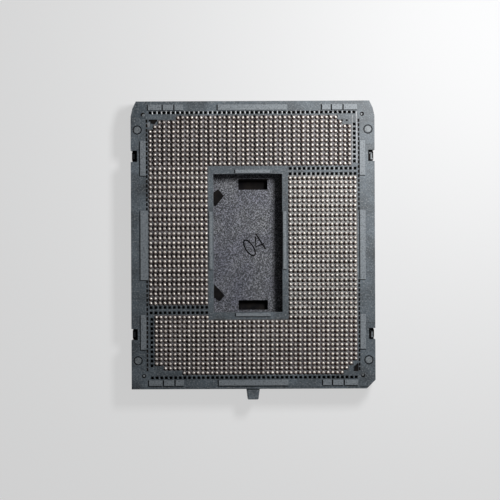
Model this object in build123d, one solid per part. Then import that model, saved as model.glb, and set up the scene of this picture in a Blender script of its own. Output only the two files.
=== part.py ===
# A land grid array processor socket body with its pick-up cap clipped on, lying on
# the cap with the solder balls up. Millimetres, +Z up. The origin is under the centre
# of the ball grid, on the cap's flat pick-up face.
import os

from build123d import *

# Ball grid. Columns count from the left and rows from the top. The contacts of the
# top and left banks point one way and those of the right and bottom banks the other,
# so the balls are shifted apart by a little.
PITCH = 0.8
COLUMNS = 45
ROWS = 56
BANK_SHIFT_X = 0.06
BANK_SHIFT_Y = 0.02
BALL_CORNER = 0.34
BALL_FLATS = 3
BALL_HEIGHT = 0.56
TOP_ROWS = 11
BOTTOM_ROWS = 12
LEFT_COLUMNS = 13
RIGHT_COLUMNS = 15
BAND_ROWS = 2
TOP_LEFT_TRIM = (6, 2, 1)
TOP_RIGHT_TRIM = (3, 2, 0)
BOTTOM_LEFT_TRIM = (6, 2, 0)
BOTTOM_RIGHT_TRIM = (3, 2, 1)

# Heights
CAP_THICK = 1.2
HOUSING_THICK = 3.2
PACKAGE_DEPTH = 1.3
FIELD_DEPTH = 0.15
CONTACT_BED_DEPTH = 0.2
STANDOFF_HEIGHT = 0.25
EDGE_STEP = 0.12
CORNER_STEP = 0.25
RELIEF_STEP = 0.08
CUT_SPARE = 1.0

# Housing in plan, as distances from the outermost balls
FRAME_SIDE = 3.45
FRAME_END = 2.86
PACKAGE_SIDE = 1.2
PACKAGE_END = 0.55
FIELD_MARGIN = 0.36
EDGE_STRIP = 0.4
TAPER_WIDTH = 0.9
TAPER_LENGTH = 2.6
TAPER_KNEE = (0.3, 1.25)
BEVEL_CORNER = 1.5
LOW_CORNER_WIDTH = 2.7
LOW_CORNER_LENGTH = 3.1
RELIEF_WIDTH = 1.6
RELIEF_SPARE = 0.95

# Package keys, on the long walls of the package's recess
KEY_Y = 15.6
KEY_LENGTH = 2.0
KEY_REACH = 0.7

# Cavity in the middle, and the collar between it and the nearest balls
COLLAR_GAP_LEFT = 0.3
COLLAR_GAP_RIGHT = 0.52
COLLAR_GAP_ENDS = 0.37
COLLAR_LEFT = 0.93
COLLAR_RIGHT = 0.88
COLLAR_TOP = 1.38
COLLAR_BOTTOM = 1.25
COLLAR_PAD_WIDTH = 0.55
COLLAR_PAD_LENGTH = 6.0
COLLAR_PAD_SIDE_SPAN = (-4.2, 5.8)
COLLAR_PAD_INSET = 0.15

# Open pockets with no contact
POCKET = 0.5
POCKET_DEPTH = 1.0
POCKET_ROW_GAP = 0.88
POCKET_ROW_SHIFT = 0.12
BAND_SPACING = 0.92
RIGHT_BAND_DROP = 0.08
RIGHT_POCKETS = 9
LEFT_POCKETS = 11

# Rows of short slots beside the long sides of the grid, and the two corner slots
SLOTS = 20
SLOT_GAP = 0.7
SLOT_LEAD = 0.55
SLOT_WIDTH = 0.27
SLOT_LENGTH = 0.54
SLOT_DEPTH = 0.9
MIDDLE_SLOT_LENGTH = 11.4
MIDDLE_SLOT_DEPTH = 0.3
CORNER_SLOT_LENGTH = 1.5
CORNER_SLOT_WIDTH = 0.34
CORNER_SLOT_DEPTH = 0.9
CORNER_SLOT_LEAD = 0.28
SLIVER_LENGTH = 1.5
SLIVER_WIDTH = 0.7
SLIVER_LEAD = 0.15

# Standoff pads
PAD_WIDTH = 0.95
END_PAD_GAP = 1.3
SIDE_PAD_GAP = 0.87
WIDE_PAD_GAP = 0.55
MIDDLE_PAD_LENGTH = 12.0
SIDE_PAD_START = 12.0
SIDE_PAD_LENGTH = 6.0
SMALL_PAD_LENGTHS = (1.45, 1.75, 2.3)
SMALL_PAD_GAP = 0.27

# Round marks and corner holes, as distances from the frame's edges
MARK_FROM_SIDE = 1.13
MARK_FROM_END = 4.94
MARK_RADIUS = 0.63
MARK_GROOVE = 0.16
MARK_DEPTH = 0.3
MARK_FLATS = 16
HOLE_FROM_SIDE = 2.15
HOLE_FROM_END = 2.3
HOLE_RADIUS = 0.32
HOLE_DEPTH = 0.9
HOLE_FLATS = 10

# Latch arms of the cap, and the notches that they stand in
LATCH_Y = 15.4
LATCH_WIDTH = 1.3
LATCH_THICK = 0.55
LATCH_INSET = 0.15
LATCH_DROP = 1.2
LATCH_NOSE = 0.25
LATCH_NOSE_HEIGHT = 0.8
NOTCH_GAP_SIDE = 0.32
NOTCH_GAP_INSIDE = 0.4

# Cap
CAP_MARGIN = 0.15
CAP_CORNER = 1.2
CAP_STEP = 0.3
PICK_FACE_MARGIN = 5.4
PICK_FACE_CORNER = 2.0
RIB_WIDTH = 0.6
RIB_LENGTH = 6.0
RIB_GAP = 0.2
RIB_HEADROOM = 0.4
RIB_SIDE_Y = 9.0
RIB_END_X = 12.0
VENT_LENGTH = 5.1
VENT_WIDTH = 1.7
VENT_Y = 10.45
SIDE_VENT_LENGTH = 3.2
SIDE_VENT_WIDTH = 1.45
SIDE_VENT_X = -6.75
SIDE_VENT_Y = 8.0
SIDE_VENT_TURN = 45.0
TAB_ROOT = 2.35
TAB_TIP = 1.9
TAB_REACH = 1.9
TAB_X = -0.1
TAB_CORNER = 0.25

# Levels and lines that follow from the sizes above
HOUSING_BASE = CAP_THICK
HOUSING_TOP = HOUSING_BASE + HOUSING_THICK
FIELD_LEVEL = HOUSING_TOP - FIELD_DEPTH
PACKAGE_SEAT = HOUSING_BASE + PACKAGE_DEPTH
GRID_X = (COLUMNS - 1) * PITCH / 2
GRID_Y = (ROWS - 1) * PITCH / 2
HALF_WIDTH = GRID_X + FRAME_SIDE
HALF_LENGTH = GRID_Y + FRAME_END
PACKAGE_X = GRID_X + PACKAGE_SIDE
PACKAGE_Y = GRID_Y + PACKAGE_END
NOTCH_DEPTH = LATCH_INSET + LATCH_THICK + NOTCH_GAP_INSIDE
NOTCH_WIDTH = LATCH_WIDTH + 2 * NOTCH_GAP_SIDE
FIRST_RIGHT_COLUMN = COLUMNS - RIGHT_COLUMNS
FIRST_BOTTOM_ROW = ROWS - BOTTOM_ROWS
ABOVE = HOUSING_TOP + CUT_SPARE
BELOW = -CUT_SPARE


def block(x_span, y_span, z_span):
    """A box between two values along each axis, in either order."""
    spans = [sorted(span) for span in (x_span, y_span, z_span)]
    sizes = [high - low for low, high in spans]
    centre = [(high + low) / 2 for low, high in spans]
    return Pos(*centre) * Box(*sizes)


def prism(points, z_span):
    """A straight-sided solid on an outline, between two levels."""
    outline = make_face(Polyline(*points, close=True))
    return Pos(0, 0, z_span[0]) * extrude(outline, z_span[1] - z_span[0])


def column_x(column, side):
    """Where a column stands, in the banks that shift to one side."""
    return column * PITCH - GRID_X + side * BANK_SHIFT_X


def row_y(row, side=0):
    """Where a row stands, in the banks that shift to one side."""
    return GRID_Y - row * PITCH - side * BANK_SHIFT_Y


def trimmed_rows(rows, columns, left_trim, right_trim):
    """A bank's rows from the outside in, whose corners leave out some columns."""
    blocks = []
    for row, left, right in zip(rows, left_trim, right_trim):
        blocks.append(((row,), columns[left : len(columns) - right]))
    blocks.append((rows[len(left_trim) :], columns))
    return blocks


def banks():
    """The four banks of contacts: name, side that they shift to, rows and columns."""
    top = trimmed_rows(
        range(TOP_ROWS), range(COLUMNS - 1), TOP_LEFT_TRIM, TOP_RIGHT_TRIM
    )
    left_rows = range(TOP_ROWS, FIRST_BOTTOM_ROW - BAND_ROWS - 1)
    left = [(left_rows, range(LEFT_COLUMNS))]
    right_rows = range(TOP_ROWS + BAND_ROWS, FIRST_BOTTOM_ROW)
    right = [(right_rows, range(FIRST_RIGHT_COLUMN, COLUMNS))]
    bottom = trimmed_rows(
        range(ROWS - 1, FIRST_BOTTOM_ROW - 1, -1),
        range(1, COLUMNS),
        BOTTOM_LEFT_TRIM,
        BOTTOM_RIGHT_TRIM,
    )
    bottom.append(((FIRST_BOTTOM_ROW - 1,), range(1, LEFT_COLUMNS)))
    return {
        "balls_top": (-1, top),
        "balls_left": (-1, left),
        "balls_right": (1, right),
        "balls_bottom": (1, bottom),
    }


def solder_ball():
    """One solder ball, drawn with the fewest flats that can stand for it."""
    base = RegularPolygon(BALL_CORNER, BALL_FLATS, rotation=90)
    return loft([base, Vertex(0, 0, BALL_HEIGHT)])


def solder_balls(side, blocks):
    """A bank of balls, each seated on the floor of the ball field."""
    ball = solder_ball()
    balls = []
    for rows, columns in blocks:
        for row in rows:
            for column in columns:
                place = Pos(column_x(column, side), row_y(row, side), FIELD_LEVEL)
                balls.append(place * ball)
    return Compound(children=balls)


def field_blocks(z_span):
    """The banks' areas as boxes, which the recesses over and under them take."""
    areas = []
    for side, blocks in banks().values():
        for rows, columns in blocks:
            x_low = column_x(columns[0], side) - FIELD_MARGIN
            x_high = column_x(columns[-1], side) + FIELD_MARGIN
            y_high = row_y(min(rows), side) + PITCH / 2
            y_low = row_y(max(rows), side) - PITCH / 2
            areas.append(block((x_low, x_high), (y_low, y_high), z_span))
    return areas


def collar_lines():
    """The collar's outer edges: left, right, bottom and top."""
    left = column_x(LEFT_COLUMNS - 1, -1) + COLLAR_GAP_LEFT
    right = column_x(FIRST_RIGHT_COLUMN, 1) - COLLAR_GAP_RIGHT
    bottom = row_y(FIRST_BOTTOM_ROW, 1) + COLLAR_GAP_ENDS
    top = row_y(TOP_ROWS - 1, -1) - COLLAR_GAP_ENDS
    return left, right, bottom, top


def cavity_lines():
    """The cavity's edges: left, right, bottom and top."""
    left, right, bottom, top = collar_lines()
    return (
        left + COLLAR_LEFT,
        right - COLLAR_RIGHT,
        bottom + COLLAR_BOTTOM,
        top - COLLAR_TOP,
    )


def housing_outline():
    """The frame's outline, with two tapered top corners and one bevelled corner."""
    w, h = HALF_WIDTH, HALF_LENGTH
    knee_x, knee_y = TAPER_KNEE
    return [
        (-w, -h),
        (w - BEVEL_CORNER, -h),
        (w, -h + BEVEL_CORNER),
        (w, h - TAPER_LENGTH),
        (w - knee_x, h - knee_y),
        (w - TAPER_WIDTH, h),
        (-w + TAPER_WIDTH, h),
        (-w + knee_x, h - knee_y),
        (-w, h - TAPER_LENGTH),
    ]


def collar_block(z_span):
    """The collar's whole area, cavity included."""
    left, right, bottom, top = collar_lines()
    return block((left, right), (bottom, top), z_span)


def cavity_block(z_span):
    """The cavity's area."""
    left, right, bottom, top = cavity_lines()
    return block((left, right), (bottom, top), z_span)


def package_recess():
    """The recess that the processor drops into, less the keys that place it."""
    z_span = (BELOW, PACKAGE_SEAT)
    recess = block((-PACKAGE_X, PACKAGE_X), (-PACKAGE_Y, PACKAGE_Y), z_span)
    half = KEY_LENGTH / 2
    for side in (-1, 1):
        for y in (-KEY_Y, KEY_Y):
            wall = side * PACKAGE_X
            tip = side * (PACKAGE_X - KEY_REACH)
            key = [(wall, y - half), (wall, y + half), (tip, y + half / 2), (tip, y - half / 2)]
            recess -= prism(key, z_span)
    return recess


def pocket_places():
    """Places of the square pockets that hold no contact."""
    places = []
    for column in range(COLUMNS):
        x = column * PITCH - GRID_X
        places.append((x - POCKET_ROW_SHIFT, GRID_Y + POCKET_ROW_GAP))
        places.append((x + POCKET_ROW_SHIFT, -GRID_Y - POCKET_ROW_GAP))
    right_middle = (row_y(TOP_ROWS - 1) + row_y(TOP_ROWS + BAND_ROWS)) / 2
    right_middle -= RIGHT_BAND_DROP
    left_middle = (row_y(FIRST_BOTTOM_ROW - BAND_ROWS - 2) + row_y(FIRST_BOTTOM_ROW - 1)) / 2
    for half in (-BAND_SPACING / 2, BAND_SPACING / 2):
        for column in range(FIRST_RIGHT_COLUMN, COLUMNS):
            places.append((column_x(column, 1), right_middle + half))
        for column in range(LEFT_COLUMNS):
            places.append((column_x(column, -1), left_middle + half))
    for n in range(RIGHT_POCKETS):
        places.append((column_x(COLUMNS - 1, -1), row_y(n + 1.5)))
    for n in range(LEFT_POCKETS):
        places.append((column_x(0, 1), row_y(FIRST_BOTTOM_ROW + n - 0.5)))
    return places


def pockets():
    """The square pockets, as the boxes that they take away."""
    half = POCKET / 2
    z_span = (HOUSING_TOP - POCKET_DEPTH, ABOVE)
    return [
        block((x - half, x + half), (y - half, y + half), z_span)
        for x, y in pocket_places()
    ]


def side_slots():
    """The rows of short slots beside the grid, and the thin slot on the right."""
    z_span = (HOUSING_TOP - SLOT_DEPTH, ABOVE)
    near = GRID_X + SLOT_GAP - SLOT_WIDTH / 2
    far = near + SLOT_WIDTH
    half = SLOT_LENGTH / 2
    slots = []
    for side in (-1, 1):
        x_span = (side * near, side * far)
        for end in (-1, 1):
            for n in range(SLOTS):
                y = end * (GRID_Y - SLOT_LEAD - n * PITCH)
                slots.append(block(x_span, (y - half, y + half), z_span))
    half = MIDDLE_SLOT_LENGTH / 2
    shallow = (HOUSING_TOP - MIDDLE_SLOT_DEPTH, ABOVE)
    middle = (near + far) / 2
    slots.append(block((middle, middle + SLOT_WIDTH / 2), (-half, half), shallow))
    return slots


def corner_slots():
    """The slot at the field's top left corner and the sliver at its bottom right."""
    deep = (HOUSING_TOP - CORNER_SLOT_DEPTH, ABOVE)
    x = -GRID_X - FIELD_MARGIN
    y = GRID_Y - CORNER_SLOT_LEAD
    low = y - CORNER_SLOT_WIDTH
    corner = [
        (x, y),
        (x + CORNER_SLOT_LENGTH, y),
        (x + CORNER_SLOT_LENGTH, low),
        (x + CORNER_SLOT_LENGTH / 2, low - CORNER_SLOT_WIDTH),
        (x + CORNER_SLOT_LENGTH / 3, low),
        (x, low),
    ]
    x = GRID_X + FIELD_MARGIN
    y = -GRID_Y + SLIVER_LEAD
    sliver = [
        (x, y),
        (x, y + SLIVER_LENGTH),
        (x - SLIVER_WIDTH / 3, y + SLIVER_LENGTH - SLIVER_WIDTH / 2),
        (x - SLIVER_WIDTH, y + SLIVER_LENGTH / 2),
        (x - SLIVER_WIDTH, y),
    ]
    return [prism(corner, deep), prism(sliver, deep)]


def edge_steps():
    """The lowered strips at the short sides, top left corner and right notches."""
    z_span = (HOUSING_TOP - EDGE_STEP, ABOVE)
    outside = HALF_LENGTH + CUT_SPARE
    steps = []
    for side in (-1, 1):
        y_span = (side * (HALF_LENGTH - EDGE_STRIP), side * outside)
        steps.append(block((-HALF_WIDTH, HALF_WIDTH), y_span, z_span))
    steps.append(
        block(
            (-HALF_WIDTH, -HALF_WIDTH + LOW_CORNER_WIDTH),
            (HALF_LENGTH - LOW_CORNER_LENGTH, outside),
            (HOUSING_TOP - CORNER_STEP, ABOVE),
        )
    )
    half = NOTCH_WIDTH / 2 + RELIEF_SPARE
    x_span = (HALF_WIDTH - RELIEF_WIDTH, HALF_WIDTH + CUT_SPARE)
    for y in (-LATCH_Y, LATCH_Y):
        relief = (HOUSING_TOP - RELIEF_STEP, ABOVE)
        steps.append(block(x_span, (y - half, y + half), relief))
    return steps


def round_marks():
    """The ring grooves round four mould marks, and the four corner holes."""
    cuts = []
    groove = RegularPolygon(MARK_RADIUS + MARK_GROOVE, MARK_FLATS)
    groove -= RegularPolygon(MARK_RADIUS, MARK_FLATS)
    hole = RegularPolygon(HOLE_RADIUS, HOLE_FLATS)
    for x_side in (-1, 1):
        for y_side in (-1, 1):
            x = x_side * (HALF_WIDTH - MARK_FROM_SIDE)
            y = y_side * (HALF_LENGTH - MARK_FROM_END)
            ring = extrude(groove, MARK_DEPTH + CUT_SPARE)
            cuts.append(Pos(x, y, HOUSING_TOP - MARK_DEPTH) * ring)
            x = x_side * (HALF_WIDTH - HOLE_FROM_SIDE)
            y = y_side * (HALF_LENGTH - HOLE_FROM_END)
            bore = extrude(hole, HOLE_DEPTH + CUT_SPARE)
            cuts.append(Pos(x, y, HOUSING_TOP - HOLE_DEPTH) * bore)
    return cuts


def latch_notches():
    """The notches in the long sides that the cap's arms stand in."""
    half = NOTCH_WIDTH / 2
    notches = []
    for side in (-1, 1):
        x_span = (side * (HALF_WIDTH - NOTCH_DEPTH), side * (HALF_WIDTH + CUT_SPARE))
        for y in (-LATCH_Y, LATCH_Y):
            notches.append(block(x_span, (y - half, y + half), (BELOW, ABOVE)))
    return notches


def frame_pads():
    """The standoff pads on the frame, which set its height over the board."""
    z_span = (HOUSING_TOP, HOUSING_TOP + STANDOFF_HEIGHT)
    half = MIDDLE_PAD_LENGTH / 2
    end_spans = [(-half, half)]
    start = SIDE_PAD_START
    for length in SMALL_PAD_LENGTHS:
        end_spans.append((start, start + length))
        end_spans.append((-start, -start - length))
        start += length + SMALL_PAD_GAP
    side_end = SIDE_PAD_START + SIDE_PAD_LENGTH
    side_spans = [(SIDE_PAD_START, side_end), (-SIDE_PAD_START, -side_end)]
    pads = []
    for side in (-1, 1):
        near = GRID_Y + END_PAD_GAP
        y_span = (side * near, side * (near + PAD_WIDTH))
        pads += [block(span, y_span, z_span) for span in end_spans]
        near = GRID_X + SIDE_PAD_GAP
        far = near + PAD_WIDTH
        x_span = (side * near, side * far)
        pads += [block(x_span, span, z_span) for span in side_spans]
        inner = GRID_X + (WIDE_PAD_GAP if side < 0 else SIDE_PAD_GAP)
        pads.append(block((side * inner, side * far), (-half, half), z_span))
    return pads


def collar_pads():
    """The standoff pads on the collar round the cavity."""
    left, right, bottom, top = cavity_lines()
    z_span = (HOUSING_TOP, HOUSING_TOP + STANDOFF_HEIGHT)
    half = COLLAR_PAD_LENGTH / 2
    near = COLLAR_PAD_INSET
    far = near + COLLAR_PAD_WIDTH
    return [
        block((-half, half), (top + near, top + far), z_span),
        block((-half, half), (bottom - near, bottom - far), z_span),
        block((left - near, left - far), COLLAR_PAD_SIDE_SPAN, z_span),
        block((right + near, right + far), COLLAR_PAD_SIDE_SPAN, z_span),
    ]


def housing():
    """The moulded body: frame, contact field, collar, pads and package recess."""
    body = prism(housing_outline(), (HOUSING_BASE, HOUSING_TOP))
    body -= package_recess()
    body -= cavity_block((BELOW, ABOVE))
    body -= latch_notches() + edge_steps()
    collar = collar_block((BELOW, ABOVE))
    upper = [area - collar for area in field_blocks((FIELD_LEVEL, ABOVE))]
    bed_top = PACKAGE_SEAT + CONTACT_BED_DEPTH
    lower = [area - collar for area in field_blocks((BELOW, bed_top))]
    body -= upper
    body -= lower
    body -= pockets() + side_slots() + corner_slots() + round_marks()
    body += frame_pads() + collar_pads()
    return body


def cap_outline(margin):
    """The cap's outline, inside the frame's by a margin."""
    w, h = HALF_WIDTH - margin, HALF_LENGTH - margin
    return [
        (-w, -h),
        (w - BEVEL_CORNER, -h),
        (w, -h + BEVEL_CORNER),
        (w, h - TAPER_LENGTH),
        (w - TAPER_WIDTH, h),
        (-w + TAPER_WIDTH, h),
        (-w, h - TAPER_LENGTH),
    ]


def latch_arm():
    """A latch arm on the right-hand side, with its hooked nose pointing in."""
    out = HALF_WIDTH - LATCH_INSET
    inner = out - LATCH_THICK
    top = HOUSING_TOP - LATCH_DROP
    nose = inner - LATCH_NOSE
    ledge = top - LATCH_NOSE_HEIGHT
    profile = [
        (out, CAP_STEP),
        (out, top),
        (inner, top),
        (nose, ledge + LATCH_NOSE),
        (nose, ledge),
        (inner, ledge),
        (nose, CAP_THICK),
        (nose, CAP_STEP),
    ]
    face = make_face(Plane.XZ * Polyline(*profile, close=True))
    return extrude(face, LATCH_WIDTH / 2, both=True)


def cap_ribs():
    """Ribs that place the cap in the package's recess."""
    z_span = (CAP_STEP, PACKAGE_SEAT - RIB_HEADROOM)
    half = RIB_LENGTH / 2
    ribs = []
    for side in (-1, 1):
        wall = PACKAGE_X - RIB_GAP
        x_span = (side * wall, side * (wall - RIB_WIDTH))
        for y in (-RIB_SIDE_Y, RIB_SIDE_Y):
            ribs.append(block(x_span, (y - half, y + half), z_span))
        wall = PACKAGE_Y - RIB_GAP
        y_span = (side * wall, side * (wall - RIB_WIDTH))
        for x in (-RIB_END_X, RIB_END_X):
            ribs.append(block((x - half, x + half), y_span, z_span))
    return ribs


def cap_vents():
    """The vents through the cap that show in the cavity."""
    height = 2 * (CAP_THICK + CUT_SPARE)
    vents = []
    for side in (-1, 1):
        vents.append(Pos(0, side * VENT_Y, 0) * Box(VENT_LENGTH, VENT_WIDTH, height))
        turn = Rot(0, 0, side * SIDE_VENT_TURN)
        vent = turn * Box(SIDE_VENT_LENGTH, SIDE_VENT_WIDTH, height)
        vents.append(Pos(SIDE_VENT_X, side * SIDE_VENT_Y, 0) * vent)
    return vents


def cap_tab():
    """The finger tab that stands out past the housing's lower end."""
    root_y = -HALF_LENGTH + CAP_MARGIN + CUT_SPARE
    tip_y = -HALF_LENGTH - TAB_REACH
    root, tip = TAB_ROOT / 2, TAB_TIP / 2
    outline = [
        (TAB_X - root, root_y),
        (TAB_X - root, -HALF_LENGTH),
        (TAB_X - tip, tip_y),
        (TAB_X + tip, tip_y),
        (TAB_X + root, -HALF_LENGTH),
        (TAB_X + root, root_y),
    ]
    tab = prism(outline, (CAP_STEP, CAP_THICK))
    tip_edges = tab.edges().filter_by(Axis.Z).sort_by(Axis.Y)[:2]
    return fillet(tip_edges, TAB_CORNER)


def pick_up_cap():
    """The clip-on cap: plate, flat pick-up face, arms, ribs, vents and tab."""
    body = prism(cap_outline(CAP_MARGIN), (CAP_STEP, CAP_THICK))
    corners = body.edges().filter_by(Axis.Z).sort_by(SortBy.DISTANCE)[:1]
    body = fillet(corners, CAP_CORNER)
    face_x = 2 * (HALF_WIDTH - PICK_FACE_MARGIN)
    face_y = 2 * (HALF_LENGTH - PICK_FACE_MARGIN)
    face = extrude(RectangleRounded(face_x, face_y, PICK_FACE_CORNER), CAP_THICK)
    arm = latch_arm()
    arms = []
    for y in (-LATCH_Y, LATCH_Y):
        arms.append(Pos(0, y, 0) * arm)
        arms.append(Pos(0, y, 0) * mirror(arm, Plane.YZ))
    body += [face, cap_tab()] + arms + cap_ribs()
    return body - cap_vents()


def main():
    """Builds every node and writes it to its own file."""
    nodes = {"housing": housing(), "pick_up_cap": pick_up_cap()}
    for name, (side, blocks) in banks().items():
        nodes[name] = solder_balls(side, blocks)
    os.makedirs("parts", exist_ok=True)
    for name, shape in nodes.items():
        export_step(shape, f"parts/{name}.step")


main()
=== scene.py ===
"""Looks of a processor socket body lying on its clip-on pick-up cap, balls up.

The solids come packed, in metres: +Z out of the ball side and +Y along the long side,
away from the cap's finger tab. Sizes here are written in millimetres and multiplied by
MM where a mesh needs metres. The socket's moulding and the cap keep their solids and get
a finish. Round solder balls replace the plain ones. What is too fine or too often repeated
for the solids is added: the contact windows and paddles, the contact springs on the package
side, the ribs between the pockets, the fills and marks of the frame, the latch hooks, the
dark shapes round the vents, the finger tab's thick block and the mould's cavity number.
Much of it is painted light: near-black painted shade in the wells, pockets, slots, grooves,
holes, latch hooks, round the vents and in the cavity number; painted shade on the balls'
sides; painted shadows beside the pads and under the balls; and lighter copies of finishes
as painted highlights on the upper ribs, the walls, the tongue and the latch ribs, and on
the banks far from the key lamp.
"""

import logging
import math
import random
from dataclasses import dataclass
from enum import Enum
from functools import cached_property

import bmesh
import bpy
from bmesh.types import BMesh, BMFace, BMVert
from bpy.types import Curve, Material, Node, NodeSocket, Object
from mathutils import Matrix, Vector


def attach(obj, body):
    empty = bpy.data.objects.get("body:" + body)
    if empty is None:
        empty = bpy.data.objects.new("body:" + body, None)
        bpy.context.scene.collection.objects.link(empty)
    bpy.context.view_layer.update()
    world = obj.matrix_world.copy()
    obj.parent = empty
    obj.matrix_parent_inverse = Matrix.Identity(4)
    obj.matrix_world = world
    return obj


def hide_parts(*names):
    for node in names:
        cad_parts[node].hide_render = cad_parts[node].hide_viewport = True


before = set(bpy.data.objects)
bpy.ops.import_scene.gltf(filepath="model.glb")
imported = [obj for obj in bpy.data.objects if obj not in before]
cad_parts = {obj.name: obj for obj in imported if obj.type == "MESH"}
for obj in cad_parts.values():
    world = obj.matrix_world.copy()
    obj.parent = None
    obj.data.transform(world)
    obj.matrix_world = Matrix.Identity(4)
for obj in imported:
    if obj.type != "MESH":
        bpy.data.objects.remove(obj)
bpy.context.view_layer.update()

MM = 0.001
HAIR = 0.01
TINY = 1e-6
PITCH = 0.8
COLUMNS = 45
ROWS = 56
GRID_X = (COLUMNS - 1) * PITCH / 2
GRID_Y = (ROWS - 1) * PITCH / 2
HOUSING_TOP = 4.4
FIELD_LEVEL = 4.25
PACKAGE_SEAT = 2.5
BED_LEVEL = 2.7
CAP_FLOOR = 1.2

log = logging.getLogger("socket")


class Bank(Enum):
    """The four banks of contacts, by the node that holds their balls."""

    TOP = "balls_top"
    LEFT = "balls_left"
    RIGHT = "balls_right"
    BOTTOM = "balls_bottom"

    @property
    def side(self) -> int:
        """The way the bank's contacts point: -1 up and left, 1 down and right."""
        return -1 if self in (Bank.TOP, Bank.LEFT) else 1

    @property
    def gets_painted_light(self) -> bool:
        """Whether the bank lies away from the key lamp; its balls and paddles take lighter copies
        of their finishes, painted light.
        """
        return self in (Bank.LEFT, Bank.BOTTOM)

    @property
    def label(self) -> str:
        """The bank's own word, as piece names use it."""
        return self.value.removeprefix("balls_")

    def is_open(self, x: float, y: float) -> bool:
        """Says whether the contact at a place shows an open well beside its ball.

        Every second column of the upper and lower banks does, and every second row of
        the banks at the sides.

        Args:
            x: The contact's place across the grid, in millimetres.
            y: The contact's place along the grid, in millimetres.

        Returns:
            True if its well is open.
        """
        column = round((x + GRID_X) / PITCH)
        row = round((y + GRID_Y) / PITCH)
        if self in (Bank.TOP, Bank.BOTTOM):
            return column % 2 == 0
        return row % 2 == (1 if self is Bank.LEFT else 0)


class Body(Enum):
    """The two bodies that pieces ride on."""

    SOCKET = "socket"
    CAP = "cap"


class Slot(Enum):
    """The record's material slots."""

    HOUSING = "housing_plastic"
    CAP = "cap_plastic"
    SOLDER = "solder"


class NodeTree:
    """A material's node tree, with short calls that add nodes and return their outputs."""

    def __init__(self, name: str) -> None:
        """Starts an empty material.

        Args:
            name: The material's name.
        """
        self.material = bpy.data.materials.new(name)
        self.material.use_nodes = True
        self.tree = self.material.node_tree
        self.tree.nodes.clear()
        self.shader = self.add("ShaderNodeBsdfPrincipled")
        self.surface = self.add("ShaderNodeOutputMaterial")
        self.feed(self.surface, Surface=self.shader.outputs["BSDF"])
        self.place = self.add("ShaderNodeTexCoord").outputs

    def add(self, kind: str, **settings: object) -> Node:
        """Adds a node.

        Args:
            kind: The node's type name.
            **settings: Attributes to set on it.

        Returns:
            The node.
        """
        node = self.tree.nodes.new(kind)
        for name, value in settings.items():
            setattr(node, name, value)
        return node

    def join(self, source: object, target: NodeSocket) -> None:
        """Feeds one input.

        Args:
            source: An output, a number or a colour.
            target: The input.
        """
        if isinstance(source, NodeSocket):
            self.tree.links.new(source, target)
        else:
            target.default_value = (*source, 1.0) if isinstance(source, tuple) else source

    def feed(self, node: Node, **values: object) -> None:
        """Feeds a node's inputs, named with an underscore for each space."""
        for name, value in values.items():
            self.join(value, node.inputs[name.replace("_", " ")])

    def noise(self, size: float, detail: float = 2.0, roughness: float = 0.5) -> NodeSocket:
        """Adds noise on the piece's own coordinates.

        Args:
            size: About how large its grains are, in millimetres.
            detail: How many finer layers it has.
            roughness: How strong the finer layers are.

        Returns:
            The noise, from 0 to 1.
        """
        node = self.add("ShaderNodeTexNoise")
        self.feed(node, Scale=1 / (size * MM), Detail=detail, Roughness=roughness)
        self.feed(node, Vector=self.place["Object"])
        return node.outputs["Fac"]

    def axis(self, kind: str, name: str) -> NodeSocket:
        """Adds one axis of the piece's coordinates or of its normal.

        Args:
            kind: "Object" or "Normal".
            name: The axis.

        Returns:
            The value on that axis, in metres for coordinates.
        """
        node = self.add("ShaderNodeSeparateXYZ")
        self.feed(node, Vector=self.place[kind])
        return node.outputs[name]

    def ramp(self, value: NodeSocket, *stops: tuple[float, tuple]) -> NodeSocket:
        """Adds a colour ramp on a value.

        Args:
            value: The value.
            *stops: Position and colour of each stop, in order.

        Returns:
            The colour.
        """
        node = self.add("ShaderNodeValToRGB")
        elements = node.color_ramp.elements
        while len(elements) < len(stops):
            elements.new(0.5)
        for element, (position, colour) in zip(elements, stops):
            element.position = position
            element.color = (*colour, 1.0)
        self.feed(node, Fac=value)
        return node.outputs["Color"]

    def mix(self, share: object, first: object, second: object, blend: str = "MIX") -> NodeSocket:
        """Adds a colour mix.

        Args:
            share: How much of the second colour there is, an output or a number.
            first: The first colour, an output or a constant.
            second: The second colour, an output or a constant.
            blend: The way the colours are mixed.

        Returns:
            The mixed colour.
        """
        node = self.add("ShaderNodeMix", data_type="RGBA", blend_type=blend)
        colours = [s for s in node.inputs if s.type == "RGBA"]
        for source, target in zip((share, first, second), (node.inputs[0], *colours)):
            self.join(source, target)
        return next(s for s in node.outputs if s.type == "RGBA")

    def range(self, value: NodeSocket, *ends: float) -> NodeSocket:
        """Adds a map of one span of values onto another.

        Args:
            value: The value.
            *ends: The two ends of the span, then what they become.

        Returns:
            The mapped value.
        """
        node = self.add("ShaderNodeMapRange")
        names = ("From_Min", "From_Max", "To_Min", "To_Max")
        self.feed(node, Value=value, **dict(zip(names, ends)))
        return node.outputs["Result"]

    def calc(self, operation: str, *values: object) -> NodeSocket:
        """Adds a sum.

        Args:
            operation: The kind of sum.
            *values: Its values, outputs or numbers.

        Returns:
            Its result.
        """
        node = self.add("ShaderNodeMath", operation=operation)
        for source, target in zip(values, node.inputs):
            self.join(source, target)
        return node.outputs["Value"]

    def bump(self, height: NodeSocket, depth: float, strength: float, bevel: float = 0.0) -> None:
        """Adds a bump to the shader, over softened edges if asked.

        Args:
            height: The height, from 0 to 1.
            depth: The bump's full height, in millimetres.
            strength: How much of it shows.
            bevel: Radius that sharp edges are shaded with, in millimetres.
        """
        node = self.add("ShaderNodeBump")
        self.feed(node, Distance=depth * MM, Strength=strength, Height=height)
        if bevel:
            edge = self.add("ShaderNodeBevel", samples=4)
            self.feed(edge, Radius=bevel * MM)
            self.feed(node, Normal=edge.outputs["Normal"])
        self.feed(self.shader, Normal=node.outputs["Normal"])


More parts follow.
